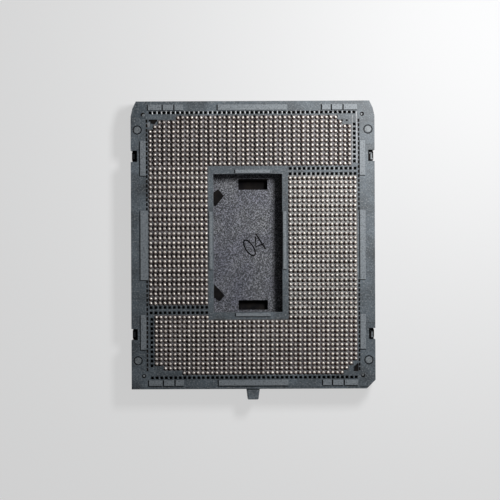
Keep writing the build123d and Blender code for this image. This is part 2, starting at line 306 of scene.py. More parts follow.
@dataclass(frozen=True)
class HousingPlastic:
    """Satin moulded plastic of the housing: blue-grey, with flow marks and coarse grain.

    The standoff pads, which stand above the housing's top, are coloured lighter. The steps
    below the housing's top are darkened a little: painted shade.
    """

    name: str = "housing plastic"
    colour: tuple = (0.06, 0.075, 0.088)
    darkest: float = 0.52
    lightest: float = 1.75
    pad_colour: tuple = (0.168, 0.19, 0.209)
    pad_rises: tuple = (0.12, 0.2)
    dust_colour: tuple = (0.3, 0.31, 0.315)
    dust_span: tuple = (0.53, 0.72)
    dust_share: float = 0.6
    pit_colour: tuple = (0.03, 0.035, 0.04)
    pit_span: tuple = (0.48, 0.32)
    pit_share: float = 0.8
    step_level: float = 3.9
    step_shade: float = 0.94
    flow_size: float = 4.0
    flow_span: tuple = (0.32, 0.68)
    grain_size: float = 0.26
    gloss: float = 0.4
    gloss_spread: float = 0.18
    shine: float = 0.5

    def material(self) -> Material:
        """Returns the finish as a material."""
        tree = NodeTree(self.name)
        flow = tree.noise(self.flow_size, detail=5.0, roughness=0.72)
        grain = tree.noise(self.grain_size, detail=3.0, roughness=0.65)
        level = tree.axis("Object", "Z")
        darker = tuple(self.darkest * c for c in self.colour)
        lighter = tuple(self.lightest * c for c in self.colour)
        marks = tree.ramp(flow, *zip(self.flow_span, (darker, lighter)))
        # Painted shade: the steps below the housing's top are darkened by step_shade.
        height = tree.range(level, self.step_level * MM, HOUSING_TOP * MM, 0.0, 1.0)
        full, step_shaded = (1.0, 1.0, 1.0), (self.step_shade,) * 3
        steps = tree.ramp(height, (0.0, full), (0.1, step_shaded), (0.8, step_shaded), (0.9, full))
        marks = tree.mix(1.0, marks, steps, "MULTIPLY")
        low, high = ((HOUSING_TOP + rise) * MM for rise in self.pad_rises)
        marks = tree.mix(tree.range(level, low, high, 0.0, 1.0), marks, self.pad_colour)
        pits = tree.range(grain, *self.pit_span, 0.0, self.pit_share)
        marks = tree.mix(pits, marks, self.pit_colour)
        dust = tree.range(grain, *self.dust_span, 0.0, self.dust_share)
        marks = tree.mix(dust, marks, self.dust_colour)
        gloss = tree.range(grain, 0.3, 0.7, self.gloss, self.gloss + self.gloss_spread)
        tree.feed(tree.shader, Base_Color=marks, Roughness=gloss)
        tree.feed(tree.shader, Specular_IOR_Level=self.shine, IOR=1.52)
        tree.bump(grain, depth=0.03, strength=0.55, bevel=0.045)
        return tree.material


@dataclass(frozen=True)
class CapPlastic:
    """Plastic off a spark-eroded mould: grey with a coarse glittering speckle."""

    name: str = "cap plastic"
    dark: tuple = (0.012, 0.0125, 0.015)
    middle: tuple = (0.039, 0.042, 0.05)
    light: tuple = (0.27, 0.276, 0.31)
    cool: tuple = (0.8, 0.8, 0.9)
    warm: tuple = (1.1, 1.1, 1.06)
    cloud_size: float = 4.0
    grain_size: float = 0.2
    chip_size: float = 0.115
    tab: tuple = (0.1, 0.115, 0.126)
    tab_line: float = -24.8
    tab_fade: float = 0.3
    tab_share: float = 0.9

    def material(self) -> Material:
        """Returns the finish as a material."""
        tree = NodeTree(self.name)
        grain = tree.noise(self.grain_size, detail=3.0, roughness=0.65)
        cloud = tree.noise(self.cloud_size)
        chips = tree.add("ShaderNodeTexVoronoi")
        tree.feed(chips, Scale=1 / (self.chip_size * MM), Vector=tree.place["Object"])
        stops = (0.18, self.dark), (0.5, self.middle), (0.82, self.light)
        speckle = tree.ramp(chips.outputs["Color"], *stops)
        shade = tree.ramp(cloud, (0.3, self.cool), (0.7, self.warm))
        mixed = tree.mix(1.0, speckle, shade, "MULTIPLY")
        ends = (self.tab_line * MM, (self.tab_line - self.tab_fade) * MM, 0.0, self.tab_share)
        outside = tree.range(tree.axis("Object", "Y"), *ends)
        mixed = tree.mix(outside, mixed, self.tab)
        gloss = tree.range(grain, 0.3, 0.7, 0.6, 0.42)
        tree.feed(tree.shader, Base_Color=mixed, Roughness=gloss)
        tree.feed(tree.shader, Specular_IOR_Level=0.5, IOR=1.55)
        tree.bump(grain, depth=0.03, strength=0.35, bevel=0.04)
        return tree.material


@dataclass(frozen=True)
class Metal:
    """A metal whose tint and gloss drift a little; if asked, its upright sides take a darker
    colour, painted shade and dark reflection.
    """

    name: str
    colour: tuple
    stain: tuple
    stain_size: float
    stain_share: float
    roughness: float
    metallic: float = 1.0
    dents: float = 0.25
    side: tuple | None = None
    painted_shade_span: tuple = (0.4, 0.75)
    shine: float = 0.5

    def material(self) -> Material:
        """Returns the finish as a material."""
        tree = NodeTree(self.name)
        patch = tree.noise(self.stain_size)
        fine = tree.noise(self.stain_size / 6, detail=1.0)
        share = tree.range(patch, 0.42, 0.7, 0.0, self.stain_share)
        mixed = tree.mix(share, self.colour, self.stain)
        # Painted shade and reflection: faces that turn away from straight up fade into the darker
        # side colour.
        if self.side:
            top = tree.range(tree.axis("Normal", "Z"), *self.painted_shade_span, 0.0, 1.0)
            mixed = tree.mix(top, self.side, mixed)
        gloss = tree.range(patch, 0.3, 0.7, self.roughness - 0.05, self.roughness + 0.07)
        tree.feed(tree.shader, Base_Color=mixed, Roughness=gloss)
        tree.feed(tree.shader, Metallic=self.metallic, Specular_IOR_Level=self.shine)
        tree.bump(fine, depth=0.02, strength=self.dents)
        return tree.material


@dataclass(frozen=True)
class PaintedShade:
    """Near-black painted shade for the insides of wells, grooves and holes."""

    name: str = "contact well"
    colour: tuple = (0.004, 0.004, 0.005)
    lighter: tuple = (0.012, 0.01, 0.009)
    patch_size: float = 1.5

    def material(self) -> Material:
        """Returns the finish as a material."""
        tree = NodeTree(self.name)
        patch = tree.noise(self.patch_size)
        shade = tree.ramp(patch, (0.35, self.colour), (0.65, self.lighter))
        tree.feed(tree.shader, Base_Color=shade, Roughness=0.85, Specular_IOR_Level=0.1)
        return tree.material


@dataclass(frozen=True)
class FloorPaint:
    """The pale floor of the studio, which glows a little where it is seen.

    The glow evens out the falloff of the near lamp and lights nothing else.
    """

    name: str = "studio floor"
    colour: tuple = (0.72, 0.725, 0.735)
    shade: tuple = (0.7, 0.705, 0.715)
    patch_size: float = 60.0
    glow: float = 0.8
    glow_share: float = 0.72

    def material(self) -> Material:
        """Returns the finish as a material."""
        tree = NodeTree(self.name)
        patch = tree.noise(self.patch_size)
        paint = tree.ramp(patch, (0.3, self.colour), (0.7, self.shade))
        tree.feed(tree.shader, Base_Color=paint, Roughness=0.9, Specular_IOR_Level=0.1)
        light = tree.add("ShaderNodeEmission")
        tree.feed(light, Strength=self.glow)
        rays = tree.add("ShaderNodeLightPath").outputs
        seen = tree.calc("MAXIMUM", rays["Is Camera Ray"], rays["Is Glossy Ray"])
        share = tree.calc("MULTIPLY", seen, self.glow_share)
        both = tree.add("ShaderNodeMixShader")
        sources = (share, tree.shader.outputs["BSDF"], light.outputs["Emission"])
        for source, target in zip(sources, both.inputs):
            tree.join(source, target)
        tree.feed(tree.surface, Surface=both.outputs["Shader"])
        return tree.material


@dataclass(frozen=True)
class Finishes:
    """Every finish of the object, as materials that the pieces share."""

    housing: Material
    cap: Material
    solder: Material
    painted_highlight_solder: Material
    paddle: Material
    painted_light_paddle: Material
    spring: Material
    painted_shade: Material
    rib: Material
    field: Material
    painted_light_field: Material
    mark: Material
    tab: Material
    cap_painted_shade: Material

    @classmethod
    def make(cls) -> "Finishes":
        """Builds the materials.

        Returns:
            The set of finishes.
        """
        # The brown colour is painted shade and dark reflection on the balls' upright sides.
        tin, dull_tin, painted_shade_brown = (1.0, 0.93, 0.87), (0.96, 0.86, 0.76), (0.1, 0.05, 0.036)
        # The paddles' near-black brown is partly their bronze and partly painted shade under the
        # balls.
        brown, dark_brown = (0.03, 0.012, 0.008), (0.014, 0.007, 0.005)
        # Painted light: a lighter brown for the paddles of the banks far from the key lamp.
        painted_light_brown = (0.065, 0.037, 0.03)
        gilt, dull_gilt = (0.78, 0.56, 0.28), (0.6, 0.4, 0.2)
        tinned = (tin, dull_tin, 1.3, 0.4, 0.31, 0.4, 0.6, painted_shade_brown)
        bronze = {"roughness": 0.7, "metallic": 0.2, "shine": 0.15}
        metals = {
            "solder": Metal("tin solder", *tinned),
            # Painted highlight: a copy of the solder with a wider light top and more shine, for
            # the banks far from the key lamp.
            "painted_highlight_solder": Metal("wide tin solder", *tinned, painted_shade_span=(0.2, 0.5), shine=1.0),
            "paddle": Metal("bronze paddle", brown, dark_brown, 0.9, 0.8, **bronze),
            "painted_light_paddle": Metal("lit paddle", painted_light_brown, brown, 0.9, 0.6, **bronze),
            "spring": Metal("gilt spring", gilt, dull_gilt, 2.0, 0.4, 0.3),
        }
        plastics = {
            "housing": HousingPlastic(),
            "cap": CapPlastic(),
            # Painted shade: the near-black fill of wells, pockets, slots, grooves, holes and latch
            # hooks.
            "painted_shade": PaintedShade(),
            # Painted shade: a near-black copy for the cap's cavity number and the dark shapes
            # round its vents.
            "cap_painted_shade": PaintedShade("engraved plastic"),
            "field": HousingPlastic("field plastic", (0.097, 0.088, 0.09), gloss=0.36),
            "painted_light_field": HousingPlastic("bright field plastic", (0.2, 0.196, 0.19), gloss=0.36),
            "mark": HousingPlastic("mark plastic", (0.13, 0.145, 0.155), gloss=0.34),
            "tab": HousingPlastic("tab plastic", (0.078, 0.094, 0.106), step_shade=1.0),
            # Painted highlight: a lighter, glossier copy of the housing plastic for the upper
            # pocket ribs, the walls beside the pockets and the corner tongue.
            "rib": HousingPlastic("rib plastic", (0.155, 0.163, 0.172), gloss=0.28, shine=1.0),
        }
        made = {name: finish.material() for name, finish in (metals | plastics).items()}
        return cls(**made)


@dataclass(frozen=True)
class Span:
    """A rectangle in plan, in millimetres."""

    left: float
    right: float
    bottom: float
    top: float

    @classmethod
    def around(cls, x: float, y: float, width: float, length: float) -> "Span":
        """Returns the rectangle of a size round a point."""
        return cls(x - width / 2, x + width / 2, y - length / 2, y + length / 2)

    @property
    def middle(self) -> tuple[float, float]:
        """The middle of the rectangle."""
        return (self.left + self.right) / 2, (self.bottom + self.top) / 2

    def holds(self, x: float, y: float) -> bool:
        """Says whether a point lies inside."""
        return self.left < x < self.right and self.bottom < y < self.top


COLLAR = Span(left=-7.76, right=5.94, bottom=-12.85, top=13.65)
COLLAR_HOLE = Span(left=-6.83, right=5.06, bottom=-11.6, top=12.27)


class Maker:
    """Makes shapes in meshes, with sizes in millimetres, and turns meshes into pieces."""

    @staticmethod
    def at(x: float, y: float, z: float = 0.0) -> Matrix:
        """Returns the move to a place."""
        return Matrix.Translation(Vector((x, y, z)) * MM)

    @staticmethod
    def linked(name: str, bm: BMesh, finish: Material) -> Object:
        """Puts a mesh into the scene as an object at the origin.

        Args:
            name: The object's name.
            bm: Its mesh, in place. It is freed.
            finish: Its material.

        Returns:
            The object.
        """
        mesh = bpy.data.meshes.new(name)
        bm.to_mesh(mesh)
        bm.free()
        mesh.materials.append(finish)
        made = bpy.data.objects.new(name, mesh)
        bpy.context.scene.collection.objects.link(made)
        return made

    @staticmethod
    def piece(
        name: str,
        bm: BMesh,
        finish: Material,
        body: Body = Body.SOCKET,
        slot: Slot = Slot.HOUSING,
    ) -> Object:
        """Makes a piece at the origin, which rides on a body.

        Args:
            name: The piece's name.
            bm: Its mesh, in place. It is freed.
            finish: Its material.
            body: The body that it rides on.
            slot: The record's slot for the piece. It is not used.

        Returns:
            The piece.
        """
        piece = Maker.linked(name, bm, finish)
        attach(piece, body.value)
        log.info("%s: %d faces on %s", name, len(piece.data.polygons), body.value)
        return piece

    @staticmethod
    def box(bm: BMesh, span: Span, low: float, high: float) -> None:
        """Adds a box to a mesh.

        Args:
            bm: The mesh.
            span: The box in plan.
            low: Its lowest level.
            high: Its highest level.
        """
        size = Vector((span.right - span.left, span.top - span.bottom, high - low)) * MM
        place = Maker.at(*span.middle, (low + high) / 2) @ Matrix.Diagonal((*size, 1.0))
        bmesh.ops.create_cube(bm, size=1.0, matrix=place)

    @staticmethod
    def sheet(bm: BMesh, place: Matrix, width: float, length: float) -> list[BMVert]:
        """Adds a rectangle to a mesh.

        Args:
            bm: The mesh.
            place: Where its middle goes, and how it is turned.
            width: Its width.
            length: Its length.

        Returns:
            Its vertices.
        """
        place = place @ Matrix.Diagonal((width * MM, length * MM, 1.0, 1.0))
        made = bmesh.ops.create_grid(bm, x_segments=1, y_segments=1, size=0.5, matrix=place)
        return made["verts"]

    @staticmethod
    def post(bm: BMesh, place: Matrix, radii: tuple, depth: float, sides: int) -> None:
        """Adds a round post to a mesh.

        Args:
            bm: The mesh.
            place: Where its middle goes, and how it is turned.
            radii: Its radius at the bottom and at the top.
            depth: Its height.
            sides: How many sides stand for the round.
        """
        low, high = (radius * MM for radius in radii)
        sizes = {"segments": sides, "radius1": low, "radius2": high, "depth": depth * MM}
        bmesh.ops.create_cone(bm, cap_ends=True, cap_tris=False, matrix=place, **sizes)

    @staticmethod
    def thicken(bm: BMesh, faces: list[BMFace], height: float) -> None:
        """Draws flat faces up into a solid.

        Args:
            bm: The mesh.
            faces: The faces, which become the solid's bottom.
            height: The solid's height.
        """
        raised = bmesh.ops.extrude_face_region(bm, geom=faces)["geom"]
        moved = [g for g in raised if isinstance(g, BMVert)]
        bmesh.ops.translate(bm, verts=moved, vec=(0, 0, height * MM))
        bmesh.ops.recalc_face_normals(bm, faces=list(bm.faces))

    @staticmethod
    def slab(bm: BMesh, points: tuple, low: float, high: float) -> None:
        """Adds an upright prism to a mesh.

        Args:
            bm: The mesh.
            points: Its corners in plan, in order.
            low: Its lowest level.
            high: Its highest level.
        """
        ring = [bm.verts.new(Vector((x, y, low)) * MM) for x, y in points]
        Maker.thicken(bm, [bm.faces.new(ring)], high - low)

    @staticmethod
    def stamp(template: BMesh, places: list[Matrix], batch: int = 30) -> BMesh:
        """Repeats a shape.

        Args:
            template: The shape. It is freed.
            places: Where each copy goes.
            batch: How many copies are gathered at a time.

        Returns:
            A mesh of all the copies.
        """
        shape = bpy.data.meshes.new("template")
        template.to_mesh(shape)
        template.free()
        copies = bmesh.new()
        for start in range(0, len(places), batch):
            group = bmesh.new()
            for place in places[start : start + batch]:
                copy = shape.copy()
                copy.transform(place)
                group.from_mesh(copy)
                bpy.data.meshes.remove(copy)
            gathered = bpy.data.meshes.new("group")
            group.to_mesh(gathered)
            group.free()
            copies.from_mesh(gathered)
            bpy.data.meshes.remove(gathered)
        bpy.data.meshes.remove(shape)
        return copies


@dataclass(frozen=True)
class Part:
    """A group of pieces that is built with the object's finishes."""

    finishes: Finishes


@dataclass(frozen=True)
class ContactBank(Part):
    """One bank of contacts: where they are, and the plates and wells round them.

    The balls' places are read from the tips of the plain balls of the same node.
    """

    bank: Bank
    margin: float = 0.345
    window: tuple = (0.32, 0.44)
    window_x: float = 0.36
    window_y: float = 0.25
    plate_drop: float = 0.03
    well_thick: float = 0.02
    well_gap: float = 0.004
    bed_window: tuple = (0.34, 0.66)
    bed_drop: float = 0.03
    tip_depth: float = 0.05

    @cached_property
    def tip_level(self) -> float:
        """The height of the plain balls' tips, in millimetres."""
        return max(v.co.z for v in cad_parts[self.bank.value].data.vertices) / MM

    @cached_property
    def places(self) -> list[tuple[float, float]]:
        """The balls' places in plan, in millimetres."""
        tips = {
            (round(v.co.x / MM, 2), round(v.co.y / MM, 2))
            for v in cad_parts[self.bank.value].data.vertices
            if v.co.z / MM > self.tip_level - self.tip_depth
        }
        return sorted(tips)

    @cached_property
    def rows(self) -> list[Span]:
        """The strip of the field that each row of balls stands on."""
        rows: dict[float, list[float]] = {}
        for x, y in self.places:
            rows.setdefault(y, []).append(x)
        return [
            Span(min(xs) - self.margin, max(xs) + self.margin, y - PITCH / 2, y + PITCH / 2)
            for y, xs in rows.items()
        ]

    def plate(self, openings: list[Span], low: float, high: float) -> BMesh:
        """Makes the bank's part of the field as a plate with openings.

        Args:
            openings: The openings, in plan.
            low: The plate's lower level, in millimetres.
            high: The plate's upper level, in millimetres.

        Returns:
            The plate's mesh.
        """
        whole = Span(
            min(row.left for row in self.rows),
            max(row.right for row in self.rows),
            min(row.bottom for row in self.rows),
            max(row.top for row in self.rows),
        )
        spans = [COLLAR, *self.rows, *openings]
        x_cuts = {round(x, 3) for span in spans for x in (span.left, span.right)}
        y_cuts = {round(y, 3) for span in spans for y in (span.bottom, span.top)}
        bm = bmesh.new()
        size = (whole.right - whole.left, whole.top - whole.bottom)
        Maker.sheet(bm, Maker.at(*whole.middle, low), *size)
        edge = 0.004
        for normal, cuts, start, end in (
            (Vector((1, 0, 0)), x_cuts, whole.left + edge, whole.right - edge),
            (Vector((0, 1, 0)), y_cuts, whole.bottom + edge, whole.top - edge),
        ):
            for cut in sorted(c for c in cuts if start < c < end):
                geometry = [*bm.verts, *bm.edges, *bm.faces]
                place = normal * cut * MM
                bmesh.ops.bisect_plane(bm, geom=geometry, plane_co=place, plane_no=normal)
        columns = sorted({(o.left, o.right) for o in openings})
        lines = sorted({(o.bottom, o.top) for o in openings})
        gone = []
        for face in bm.faces:
            x, y, _ = face.calc_center_median() / MM
            is_open = any(a < x < b for a, b in columns) and any(a < y < b for a, b in lines)
            on_field = any(row.holds(x, y) for row in self.rows) and not COLLAR.holds(x, y)
            if is_open or not on_field:
                gone.append(face)
        bmesh.ops.delete(bm, geom=gone, context="FACES")
        Maker.thicken(bm, list(bm.faces), high - low)
        return bm

    def build_field(self) -> None:
        """Builds the windowed plate round the balls and under it a near-black floor, painted
        shade.

        Every open contact has a window beside its ball, on the side it points away from.
        """
        shift_x, shift_y = self.bank.side * self.window_x, self.bank.side * self.window_y
        windows = [
            Span.around(x - shift_x, y - shift_y, *self.window)
            for x, y in self.places
            if self.bank.is_open(x, y)
        ]
        floor = FIELD_LEVEL + self.well_thick
        plate = self.plate(windows, floor, HOUSING_TOP - self.plate_drop)
        # Painted light: the right bank, nearest the key lamp, takes a lighter copy of the field
        # plastic.
        finish = self.finishes.painted_light_field if self.bank is Bank.RIGHT else self.finishes.field
        Maker.piece(f"contact_windows_{self.bank.label}", plate, finish)
        painted_shade = self.plate([], FIELD_LEVEL + self.well_gap, floor)
        Maker.piece(f"contact_wells_{self.bank.label}", painted_shade, self.finishes.painted_shade)

    def build_bed(self) -> None:
        """Builds the plate on the package side, a window a contact, and its near-black floor of
        painted shade.
        """
        windows = [Span.around(x, y, *self.bed_window) for x, y in self.places]
        ceiling = BED_LEVEL - self.well_thick
        plate = self.plate(windows, PACKAGE_SEAT + self.bed_drop, ceiling)
        Maker.piece(f"spring_windows_{self.bank.label}", plate, self.finishes.housing)
        painted_shade = self.plate([], ceiling, BED_LEVEL - self.well_gap)
        Maker.piece(f"spring_wells_{self.bank.label}", painted_shade, self.finishes.painted_shade)


@dataclass(frozen=True)
class SolderBalls(Part):
    """The solder balls of one bank, each on the paddle of its contact."""

    contacts: ContactBank
    radius: float = 0.243
    squash: float = 0.97
    segments: int = 10
    rings: int = 6
    size_spread: float = 0.025
    place_spread: float = 0.012
    paddle_radius: float = 0.34
    paddle_sides: int = 8
    paddle_thick: float = 0.03
    painted_shadow_shift: float = 0.1

    def build(self) -> None:
        """Builds the balls in place of the plain ones, and the paddles under them."""
        bank = self.contacts.bank
        dice = random.Random(bank.label)
        ball = bmesh.new()
        rounds = {"u_segments": self.segments, "v_segments": self.rings}
        bmesh.ops.create_uvsphere(ball, radius=self.radius * MM, **rounds)
        for face in ball.faces:
            face.smooth = True
        level = self.contacts.tip_level - self.radius - HAIR
        places = []
        for x, y in self.contacts.places:
            size = 1 + dice.uniform(-self.size_spread, 0)
            x += dice.uniform(-self.place_spread, self.place_spread)
            y += dice.uniform(-self.place_spread, self.place_spread)
            turn = Matrix.Rotation(dice.uniform(0, math.tau), 4, "Z")
            scale = Matrix.Diagonal((size, size, size * self.squash, 1.0))
            places.append(Maker.at(x, y, level) @ turn @ scale)
        # Painted highlight: the balls of the banks far from the key lamp take the brighter solder.
        finish = self.finishes.painted_highlight_solder if bank.gets_painted_light else self.finishes.solder
        name = f"solder_balls_{bank.label}"
        balls = Maker.piece(name, Maker.stamp(ball, places), finish, slot=Slot.SOLDER)
        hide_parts(bank.value)
        self.build_paddles()

    def build_paddles(self) -> None:
        """Builds the flat paddles that the balls sit on, near-black brown and shifted to the lower
        left, partly their own bronze and partly painted shadows of the balls.
        """
        bank, shift = self.contacts.bank, self.painted_shadow_shift
        paddle = bmesh.new()
        turn = Matrix.Rotation(math.pi / self.paddle_sides, 4, "Z")
        radii = (self.paddle_radius, self.paddle_radius)
        Maker.post(paddle, turn, radii, self.paddle_thick, self.paddle_sides)
        level = HOUSING_TOP - self.contacts.plate_drop + self.paddle_thick / 2 - HAIR
        # Painted shadow: every paddle is shifted to the lower left of its ball, away from the key
        # lamp.
        places = [Maker.at(x - shift, y - shift, level) for x, y in self.contacts.places]
        # Painted light: the paddles of the banks far from the key lamp take a lighter brown.
        finish = self.finishes.painted_light_paddle if bank.gets_painted_light else self.finishes.paddle
        name = f"contact_paddles_{bank.label}"
        Maker.piece(name, Maker.stamp(paddle, places), finish, slot=Slot.SOLDER)


@dataclass(frozen=True)
class ContactSprings(Part):
    """The springs of one bank, which lean out of the package side.

    Each step of a spring says how far it runs along Y and up Z before it leans further.
    """

    contacts: ContactBank
    width: float = 0.24
    thick: float = 0.05
    root: float = 0.22
    sink: float = 0.03
    steps: tuple = ((0.0, -0.16), (0.1, -0.14), (0.2, -0.14), (0.16, -0.08), (0.06, 0.05))
    first_lean: float = 12.0
    lean: float = 18.0

    def build(self) -> None:
        """Builds the bank's springs as one piece."""
        bank = self.contacts.bank
        spring = bmesh.new()
        Maker.sheet(spring, Maker.at(0, -self.root, BED_LEVEL - self.sink), self.width, self.thick)
        tip = list(spring.faces)
        for number, (along, up) in enumerate(self.steps):
            made = bmesh.ops.extrude_face_region(spring, geom=tip)["geom"]
            verts = [g for g in made if isinstance(g, BMVert)]
            tip = [g for g in made if isinstance(g, BMFace)]
            bmesh.ops.translate(spring, verts=verts, vec=Vector((0, along, up)) * MM)
            middle = sum((v.co for v in verts), Vector()) / len(verts)
            lean = Matrix.Rotation(math.radians(self.lean if number else self.first_lean), 3, "X")
            bmesh.ops.rotate(spring, verts=verts, cent=middle, matrix=lean)
        bmesh.ops.recalc_face_normals(spring, faces=list(spring.faces))
        turn = Matrix.Rotation(math.pi if bank.side > 0 else 0.0, 4, "Z")
        places = [Maker.at(x, y) @ turn for x, y in self.contacts.places]
        name = f"contact_springs_{bank.label}"
        Maker.piece(name, Maker.stamp(spring, places), self.finishes.spring, slot=Slot.SOLDER)


@dataclass(frozen=True)
class Pockets(Part):
    """The square pockets' near-black bottoms of painted shade, the ribs between them and the walls
    beside them; the upper ribs and the walls are lighter, painted highlights.
    """

    size: float = 0.5
    depth: float = 1.0
    row_gap: float = 0.88
    row_shift: float = 0.12
    bank_shift: float = 0.06
    band_spacing: float = 0.92
    right_band_y: float = 12.72
    left_band_y: float = -11.2
    right_columns: int = 15
    left_columns: int = 13
    right_pockets: int = 9
    left_pockets: int = 11
    right_lead: float = 1.5
    left_first_y: float = -12.8
    rib_width: float = 0.24
    rib_height: float = 0.16
    rib_rise: float = 0.015
    ridge: float = 0.035
    bottom_thick: float = 0.3
    bottom_gap: float = 0.005
    painted_highlight_walls: tuple = (
        Span(17.87, 18.09, 14.1, 21.2),
        Span(17.15, 17.27, 14.1, 22.35),
        Span(17.84, 18.02, 21.2, 23.05),
    )

    def rows(self) -> list[tuple[float, list[float]]]:
        """Lists the rows of pockets that run across the frame.

        Returns:
            Each row's Y and its pockets' X.
        """
        columns = [n * PITCH - GRID_X for n in range(COLUMNS)]
        rows = [
            (GRID_Y + self.row_gap, [x - self.row_shift for x in columns]),
            (-GRID_Y - self.row_gap, [x + self.row_shift for x in columns]),
        ]
        right = [x + self.bank_shift for x in columns[COLUMNS - self.right_columns :]]
        left = [x - self.bank_shift for x in columns[: self.left_columns]]
        for half in (-self.band_spacing / 2, self.band_spacing / 2):
            rows.append((self.right_band_y + half, right))
            rows.append((self.left_band_y + half, left))
        return rows

    def lines(self) -> list[tuple[float, list[float]]]:
        """Lists the columns of pockets at the frame's sides.

        Returns:
            Each column's X and its pockets' Y.
        """
        right = [GRID_Y - (n + self.right_lead) * PITCH for n in range(self.right_pockets)]
        left = [self.left_first_y - n * PITCH for n in range(self.left_pockets)]
        return [(GRID_X - self.bank_shift, right), (-GRID_X + self.bank_shift, left)]

    def build(self) -> None:
        """Builds the bottoms as one piece, and the upper and the lower ribs as two more; the upper
        ribs and the walls take a lighter plastic, painted highlights.
        """
        bottoms = bmesh.new()
        side = self.size - 2 * HAIR
        low = HOUSING_TOP - self.depth + self.bottom_gap
        places = [(x, y) for y, xs in self.rows() for x in xs]
        places += [(x, y) for x, ys in self.lines() for y in ys]
        for x, y in places:
            Maker.box(bottoms, Span.around(x, y, side, side), low, low + self.bottom_thick)
        # Painted shade: the pockets' near-black bottoms.
        Maker.piece("pocket_bottoms", bottoms, self.finishes.painted_shade)
        upper, lower = [], []
        for y, xs in self.rows():
            spots = upper if y > 0 else lower
            spots += [Maker.at((a + b) / 2, y) for a, b in zip(xs, xs[1:])]
        turn = Matrix.Rotation(math.pi / 2, 4, "Z")
        for x, ys in self.lines():
            spots = upper if x > 0 else lower
            spots += [Maker.at(x, (a + b) / 2) @ turn for a, b in zip(ys, ys[1:])]
        ribs = Maker.stamp(self.rib(), upper)
        for wall in self.painted_highlight_walls:
            Maker.box(ribs, wall, HOUSING_TOP - self.rib_height, HOUSING_TOP + self.rib_rise)
        # Painted highlight: the upper ribs and the walls take the lighter rib plastic; the lower
        # ribs keep the housing's.
        Maker.piece("pocket_ribs_upper", ribs, self.finishes.rib)
        Maker.piece("pocket_ribs_lower", Maker.stamp(self.rib(), lower), self.finishes.housing)

    def rib(self) -> BMesh:
        """Makes one rib's top, a low ridge.

        Returns:
            Its mesh, at the origin and along Y.
        """
        bm = bmesh.new()
        top = HOUSING_TOP + self.rib_rise
        span = Span.around(0, 0, self.rib_width, self.size - 2 * HAIR)
        Maker.box(bm, span, top - self.rib_height, top)
        geometry = [*bm.verts, *bm.edges, *bm.faces]
        bmesh.ops.bisect_plane(bm, geom=geometry, plane_co=(0, 0, 0), plane_no=(1, 0, 0))
        level = (top - HAIR) * MM
        crest = [v for v in bm.verts if v.co.z > level and abs(v.co.x) < TINY]
        bmesh.ops.translate(bm, verts=crest, vec=(0, 0, self.ridge * MM))
        return bm


@dataclass(frozen=True)
class SideSlots(Part):
    """The near-black fills of the short slots beside the long sides of the grid, painted shade."""

    count: int = 20
    line: float = 18.3
    lead: float = 0.55
    width: float = 0.31
    length: float = 0.56
    depth: float = 0.3
    rise: float = 0.005

    def build(self) -> None:
        """Builds the fills of all the slots as one piece."""
        bm = bmesh.new()
        for side in (-1, 1):
            for end in (-1, 1):
                for n in range(self.count):
                    y = end * (GRID_Y - self.lead - n * PITCH)
                    span = Span.around(side * self.line, y, self.width, self.length)
                    Maker.box(bm, span, HOUSING_TOP - self.depth, HOUSING_TOP + self.rise)
        Maker.piece("slot_bottoms", bm, self.finishes.painted_shade)


@dataclass(frozen=True)
class MouldMarks(Part):
    """Round marks of the mould's ejector pins, each in a fine ring groove."""

    x: float = 19.92
    y: float = 19.92
    radius: float = 0.54
    groove: float = 0.26
    rim: float = 0.85
    rise: float = 0.008
    depth: float = 0.29
    chamfer: float = 0.015
    shade_drop: float = 0.07
    sides: int = 48

    def build(self) -> None:
        """Builds the discs, the rims of their grooves and the grooves' near-black bottoms, painted
        shade.
        """
        discs, rims, bottoms = bmesh.new(), bmesh.new(), bmesh.new()
        top = HOUSING_TOP + self.rise
        inner = self.radius + self.groove
        radii = (self.radius, self.radius - self.chamfer)
        for x in (-self.x, self.x):
            for y in (-self.y, self.y):
                place = Maker.at(x, y, top - self.depth / 2)
                Maker.post(discs, place, radii, self.depth, self.sides)
                self.ring(rims, (x, y), inner, self.rim, top)
                shade = HOUSING_TOP - self.shade_drop
                self.ring(bottoms, (x, y), self.radius - 2 * HAIR, inner + HAIR, shade)
        for name, bm, finish in (
            ("mould_marks", discs, self.finishes.mark),
            ("mark_rims", rims, self.finishes.housing),
            ("mark_grooves", bottoms, self.finishes.painted_shade),
        ):
            bmesh.ops.recalc_face_normals(bm, faces=list(bm.faces))
            Maker.piece(name, bm, finish)

    def ring(self, bm: BMesh, centre: tuple, inner: float, outer: float, top: float) -> None:
        """Adds a flat ring, spun from its section.

        Args:
            bm: The mesh.
            centre: The mark's middle in plan, in millimetres.
            inner: The ring's inner radius, in millimetres.
            outer: The ring's outer radius, in millimetres.
            top: The ring's upper level, in millimetres.
        """
        low = HOUSING_TOP + self.rise - self.depth
        x, y = centre
        upright = Matrix.Rotation(math.pi / 2, 4, "X")
        place = Maker.at(x + (inner + outer) / 2, y, (low + top) / 2) @ upright
        verts = Maker.sheet(bm, place, outer - inner, top - low)
        edges = {edge for vert in verts for edge in vert.link_edges}
        faces = {face for vert in verts for face in vert.link_faces}
        geometry = [*verts, *edges, *faces]
        turn = {"cent": Vector((x, y, 0)) * MM, "axis": (0, 0, 1), "angle": math.tau}
        bmesh.ops.spin(bm, geom=geometry, steps=self.sides, use_merge=True, **turn)


